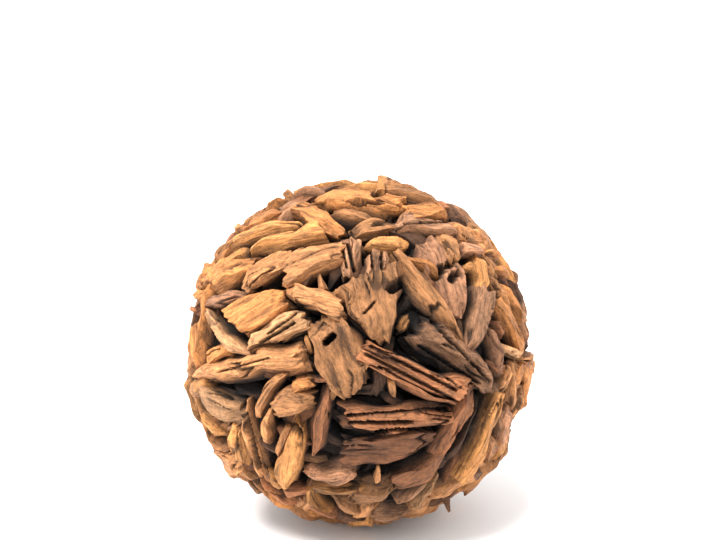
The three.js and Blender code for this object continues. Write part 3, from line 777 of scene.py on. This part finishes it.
def join_mesh(joined, single):
    """Move a mesh into another."""
    passing = bpy.data.meshes.new("passing")
    single.to_mesh(passing)
    single.free()
    joined.from_mesh(passing)
    bpy.data.meshes.remove(passing)


def size_property(label, description, default):
    """A size of the relief that a user may change."""
    return bpy.props.FloatProperty(
        name=label, description=description, subtype="DISTANCE", unit="LENGTH", min=0.0, default=default,
    )


class ReliefSettings(bpy.types.PropertyGroup):
    """Sizes of the relief of the chips."""

    facet_height: size_property("Facet height", "Height of the broad ridges along the grain", 0.0024)
    fibre_height: size_property("Fibre height", "Height of the fine ridges along the grain", 0.0005)
    crack_depth: size_property("Crack depth", "Depth of the splits along the grain", 0.008)
    tear_length: size_property("Tear length", "How far the torn ends reach at most", 0.008)
    bend: size_property("Bend", "How far a chip bends sideways at most", 0.004)
    gnarl: size_property("Gnarl", "How far the knobbly outline of a chip strays", 0.0045)


def tone_property(label, default):
    """A colour of the wood that a user may change."""
    return bpy.props.FloatVectorProperty(
        name=label, description=f"Middle colour of the {label.lower()} chips", subtype="COLOR", size=3,
        min=0.0, max=1.0, default=default,
    )


class WoodSettings(bpy.types.PropertyGroup):
    """Colours of the wood and the painted shade of its gaps."""

    tan: tone_property("Tan", (0.47, 0.204, 0.075))
    orange: tone_property("Orange", (0.51, 0.198, 0.057))
    golden: tone_property("Golden", (0.54, 0.23, 0.068))
    pale: tone_property("Pale", (0.5, 0.25, 0.108))
    pink: tone_property("Pink", (0.43, 0.195, 0.096))
    red: tone_property("Red", (0.36, 0.135, 0.052))
    grey: tone_property("Grey", (0.385, 0.182, 0.088))
    dark: tone_property("Dark", (0.15, 0.065, 0.03))
    # Painted shade: the share of the colour left at the bottom of the gaps, where the wood is darkened to
    # stand for the shade there
    painted_gap_shade: bpy.props.FloatProperty(
        name="Gap shade", description="Share of the colour left at the bottom of the gaps",
        min=0.0, max=1.0, default=0.03,
    )


class StageSettings(bpy.types.PropertyGroup):
    """Light and floor of the stage."""

    floor_colour: bpy.props.FloatVectorProperty(
        name="Floor colour", description="Colour of the pale floor", subtype="COLOR", size=3,
        min=0.0, max=1.0, default=(0.9, 0.9, 0.9),
    )
    key_strength: bpy.props.FloatProperty(
        name="Key strength", description="Strength of the soft light from above on the left",
        min=0.0, default=6.8,
    )
    sky_strength: bpy.props.FloatProperty(
        name="Sky strength", description="Strength of the even white light", min=0.0, default=1.5,
    )


def grain_noise(tree, source, scale, detail):
    """A noise stretched along the grain."""
    mapping = tree.nodes.new("ShaderNodeMapping")
    mapping.inputs["Scale"].default_value = scale
    texture = tree.nodes.new("ShaderNodeTexNoise")
    texture.inputs["Scale"].default_value = 1.0
    texture.inputs["Detail"].default_value = detail
    texture.inputs["Roughness"].default_value = NOISE_ROUGHNESS
    tree.links.new(source, mapping.inputs["Vector"])
    tree.links.new(mapping.outputs["Vector"], texture.inputs["Vector"])
    return texture.outputs["Fac"]


def attribute(tree, name, output):
    """Read one of the attributes of a chip."""
    node = tree.nodes.new("ShaderNodeAttribute")
    node.attribute_name = name
    return node.outputs[output]


def weigh(tree, sources, shares):
    """Add up some of the noises, each with its share."""
    total = None
    for name, share in shares.items():
        part = combine(tree, "MULTIPLY", sources[name], share)
        total = part if total is None else combine(tree, "ADD", total, part)
    return total


def map_range(tree, source, low, high, to_low, to_high):
    """Map a value from one range to another, held at both ends."""
    node = tree.nodes.new("ShaderNodeMapRange")
    node.interpolation_type = "SMOOTHSTEP"
    node.inputs["From Min"].default_value = low
    node.inputs["From Max"].default_value = high
    node.inputs["To Min"].default_value = to_low
    node.inputs["To Max"].default_value = to_high
    tree.links.new(source, node.inputs["Value"])
    return node.outputs["Result"]


def combine(tree, operation, first, second):
    """Join two values, either of which may be a plain number."""
    node = tree.nodes.new("ShaderNodeMath")
    node.operation = operation
    for socket, value in zip(node.inputs, (first, second)):
        if isinstance(value, (int, float)):
            socket.default_value = value
        else:
            tree.links.new(value, socket)
    return node.outputs["Value"]


def multiply_colour(tree, colour, factor):
    """Scale a colour by a value."""
    node = tree.nodes.new("ShaderNodeVectorMath")
    node.operation = "SCALE"
    tree.links.new(colour, node.inputs["Vector"])
    tree.links.new(factor, node.inputs["Scale"])
    return node.outputs["Vector"]


def blend_colour(tree, factor, colour, other):
    """Blend a colour toward a plain one."""
    node = tree.nodes.new("ShaderNodeMix")
    node.data_type = "RGBA"
    tree.links.new(factor, node.inputs["Factor"])
    tree.links.new(colour, node.inputs[6])
    node.inputs[7].default_value = (*other, 1.0)
    return node.outputs[2]


def centre_distance(tree):
    """The distance of a point from the middle of the ball."""
    coordinate = tree.nodes.new("ShaderNodeTexCoord")
    distance = tree.nodes.new("ShaderNodeVectorMath")
    distance.operation = "DISTANCE"
    distance.inputs[1].default_value = (0, 0, CENTRE_HEIGHT * MM)
    tree.links.new(coordinate.outputs["Object"], distance.inputs[0])
    return distance.outputs["Value"]


def figure_ramp(tree, middle):
    """From the dark to the light of the grain, about the middle colour of a tone."""
    node = tree.nodes.new("ShaderNodeValToRGB")
    ramp = node.color_ramp
    while len(ramp.elements) < len(FIGURE_RAMP):
        ramp.elements.new(1.0)
    for element, (position, share) in zip(ramp.elements, FIGURE_RAMP):
        element.position = position
        element.color = (*(middle * share), 1.0)
    return node


def wood_material(tone):
    """Weathered split wood of one tone, made once, with painted shade in its gaps, cracks and hollows."""
    name = tone + "_split_wood"
    if name in bpy.data.materials:
        return bpy.data.materials[name]
    settings = bpy.context.scene.root_ball_wood
    middle = Vector(getattr(settings, tone))
    material = bpy.data.materials.new(name)
    material.use_nodes = True
    material.diffuse_color = (*middle, 1.0)
    tree = material.node_tree
    shader = tree.nodes["Principled BSDF"]
    grain = attribute(tree, "grain", "Vector")
    noises = {name: grain_noise(tree, grain, *values) for name, values in GRAIN_NOISES.items()}
    ramp = figure_ramp(tree, middle)
    tree.links.new(weigh(tree, noises, FIGURE_SHARES), ramp.inputs["Fac"])
    stain = map_range(tree, noises["blotch"], *STAIN_RANGE)
    stained = middle.lerp(STAIN, STAIN_SHARE)
    colour = blend_colour(tree, stain, ramp.outputs["Color"], stained)
    for name, values in ATTRIBUTE_SHADES.items():
        colour = multiply_colour(tree, colour, map_range(tree, attribute(tree, name, "Fac"), *values))
    for name, values in NOISE_SHADES.items():
        colour = multiply_colour(tree, colour, map_range(tree, noises[name], *values))
    # Painted shade: the wood darkens toward the middle of the ball, so that the gaps between the chips
    # look shaded
    painted_gap_darkening = map_range(tree, centre_distance(tree), *PAINTED_SHADE_REACH, settings.painted_gap_shade, 1.0)
    tree.links.new(multiply_colour(tree, colour, painted_gap_darkening), shader.inputs["Base Color"])
    tree.links.new(map_range(tree, noises["streak"], *GLOSS_RANGE), shader.inputs["Roughness"])
    shader.inputs["Specular IOR Level"].default_value = SPECULAR
    bump = tree.nodes.new("ShaderNodeBump")
    bump.inputs["Strength"].default_value = BUMP_STRENGTH
    bump.inputs["Distance"].default_value = BUMP_DISTANCE
    tree.links.new(weigh(tree, noises, BUMP_SHARES), bump.inputs["Height"])
    tree.links.new(bump.outputs["Normal"], shader.inputs["Normal"])
    return material


class RootBallLargeChips(bpy.types.Operator):
    """Make the larger chips of the front and the one that the ball stands on"""

    bl_idname = "root_ball.large_chips"
    bl_label = "Large chips"

    def execute(self, context):
        chips = [seen_chip(*row) for row in FRONT_CHIPS]
        foot = placed_chip("foot_chip", "tan", DOWN, SEEN_RIGHT, FOOT_LENGTH, FOOT_WIDTHS, 0, SLAB)
        chips.append(foot)
        for number, chip in enumerate(chips):
            bm = new_mesh()
            add_chip(bm, chip, LARGE_GRID, LARGE_DRAW + number)
            finish_piece(bm, chip.name + "_wood", chip.tone, chip.name)
        return {"FINISHED"}


class RootBallSmallChips(bpy.types.Operator):
    """Make the small chips and slivers between the larger ones"""

    bl_idname = "root_ball.small_chips"
    bl_label = "Small chips"

    def execute(self, context):
        add_by_tone([seen_chip(*row) for row in SMALL_CHIPS], "small_chips", SMALL_GRID, SMALL_DRAW)
        return {"FINISHED"}


class RootBallBackChips(bpy.types.Operator):
    """Make the chips of the sides and the back"""

    bl_idname = "root_ball.back_chips"
    bl_label = "Back chips"

    def execute(self, context):
        add_by_tone(back_chips(), "back_chips", BACK_GRID, BACK_DRAW)
        add_by_tone(fill_chips(), "fill_chips", FILL_GRID, FILL_DRAW)
        return {"FINISHED"}


class RootBallInnerChips(bpy.types.Operator):
    """Make the chips packed under the outer ones, leaning to the dark tone as painted shade"""

    bl_idname = "root_ball.inner_chips"
    bl_label = "Inner chips"

    def execute(self, context):
        add_by_tone(inner_chips(), "inner_chips", INNER_GRID, INNER_DRAW)
        bm = new_mesh()
        add_bed(bm)
        # The bed takes the dark tone as painted shade under the chips
        finish_piece(bm, "inner_bed", "dark", "packed_chips")
        return {"FINISHED"}


class RootBallStage(bpy.types.Operator):
    """Make the floor, the light and the camera"""

    bl_idname = "root_ball.stage"
    bl_label = "Stage"

    def execute(self, context):
        settings = context.scene.root_ball_stage
        add_floor(settings)
        add_light(settings)
        add_camera(context)
        return {"FINISHED"}


def add_floor(settings):
    """A wide pale floor just under the ball."""
    bm = bmesh.new()
    bmesh.ops.create_grid(bm, x_segments=1, y_segments=1, size=FLOOR_HALF)
    bmesh.ops.translate(bm, verts=bm.verts, vec=(0, 0, -FLOOR_DROP))
    mesh = bpy.data.meshes.new("floor")
    bm.to_mesh(mesh)
    bm.free()
    floor = bpy.data.objects.new("floor", mesh)
    bpy.context.scene.collection.objects.link(floor)
    material = bpy.data.materials.new("pale_floor")
    material.use_nodes = True
    shader = material.node_tree.nodes["Principled BSDF"]
    shader.inputs["Base Color"].default_value = (*settings.floor_colour, 1.0)
    shader.inputs["Roughness"].default_value = FLOOR_ROUGHNESS
    mesh.materials.append(material)


def add_light(settings):
    """An even white sky and one large soft lamp above on the left."""
    world = bpy.data.worlds.new("studio")
    world.use_nodes = True
    background = world.node_tree.nodes["Background"]
    background.inputs["Color"].default_value = (1, 1, 1, 1)
    background.inputs["Strength"].default_value = settings.sky_strength
    bpy.context.scene.world = world
    bpy.context.scene.view_settings.view_transform = "Standard"
    lamp = bpy.data.lights.new("key", "SUN")
    lamp.energy = settings.key_strength
    lamp.angle = KEY_ANGLE
    key = bpy.data.objects.new("key", lamp)
    key.rotation_euler = (-KEY_FROM).to_track_quat("-Z", "Y").to_euler()
    bpy.context.scene.collection.objects.link(key)


def add_camera(context):
    """The camera where the front chips were seen from, aimed so that the ball falls where it was seen."""
    camera = bpy.data.cameras.new("camera")
    camera.lens = LENS
    camera.sensor_width = SENSOR
    focal_pixels = LENS / SENSOR * PHOTO_SIZE[0]
    drop = math.atan((BALL_PIXEL[1] - PHOTO_SIZE[1] / 2) / focal_pixels)
    swing = math.atan((BALL_PIXEL[0] - PHOTO_SIZE[0] / 2) / focal_pixels)
    seat = bpy.data.objects.new("camera", camera)
    seat.location = (Vector((0, 0, CENTRE_HEIGHT)) + TO_EYE * EYE_DISTANCE) * MM
    seat.rotation_euler = (math.pi / 2 - EYE_LIFT + drop, 0, swing)
    context.scene.collection.objects.link(seat)
    context.scene.camera = seat


class RootBallPanel(bpy.types.Panel):
    """The steps that build the ball"""

    bl_idname = "VIEW3D_PT_root_ball"
    bl_label = "Root ball"
    bl_space_type = "VIEW_3D"
    bl_region_type = "UI"
    bl_category = "Root ball"

    def draw(self, context):
        for step in STEPS:
            self.layout.operator(step.bl_idname)
        for name in ("facet_height", "fibre_height", "crack_depth", "tear_length", "bend", "gnarl"):
            self.layout.prop(context.scene.root_ball_relief, name)
        for name in (*TONES, "painted_gap_shade"):
            self.layout.prop(context.scene.root_ball_wood, name)
        for name in ("floor_colour", "key_strength", "sky_strength"):
            self.layout.prop(context.scene.root_ball_stage, name)


STEPS = (RootBallLargeChips, RootBallSmallChips, RootBallBackChips, RootBallInnerChips, RootBallStage)
CLASSES = (ReliefSettings, WoodSettings, StageSettings, *STEPS, RootBallPanel)


def register():
    """Add the classes and the settings that hang on the scene."""
    for cls in CLASSES:
        bpy.utils.register_class(cls)
    bpy.types.Scene.root_ball_relief = bpy.props.PointerProperty(type=ReliefSettings)
    bpy.types.Scene.root_ball_wood = bpy.props.PointerProperty(type=WoodSettings)
    bpy.types.Scene.root_ball_stage = bpy.props.PointerProperty(type=StageSettings)


def unregister():
    """Take the settings and the classes away again."""
    del bpy.types.Scene.root_ball_stage
    del bpy.types.Scene.root_ball_wood
    del bpy.types.Scene.root_ball_relief
    for cls in reversed(CLASSES):
        bpy.utils.unregister_class(cls)


def main():
    """Build the ball and its stage."""
    register()
    bpy.ops.root_ball.large_chips()
    bpy.ops.root_ball.small_chips()
    bpy.ops.root_ball.back_chips()
    bpy.ops.root_ball.inner_chips()
    bpy.ops.root_ball.stage()


if __name__ == "__main__":
    main()
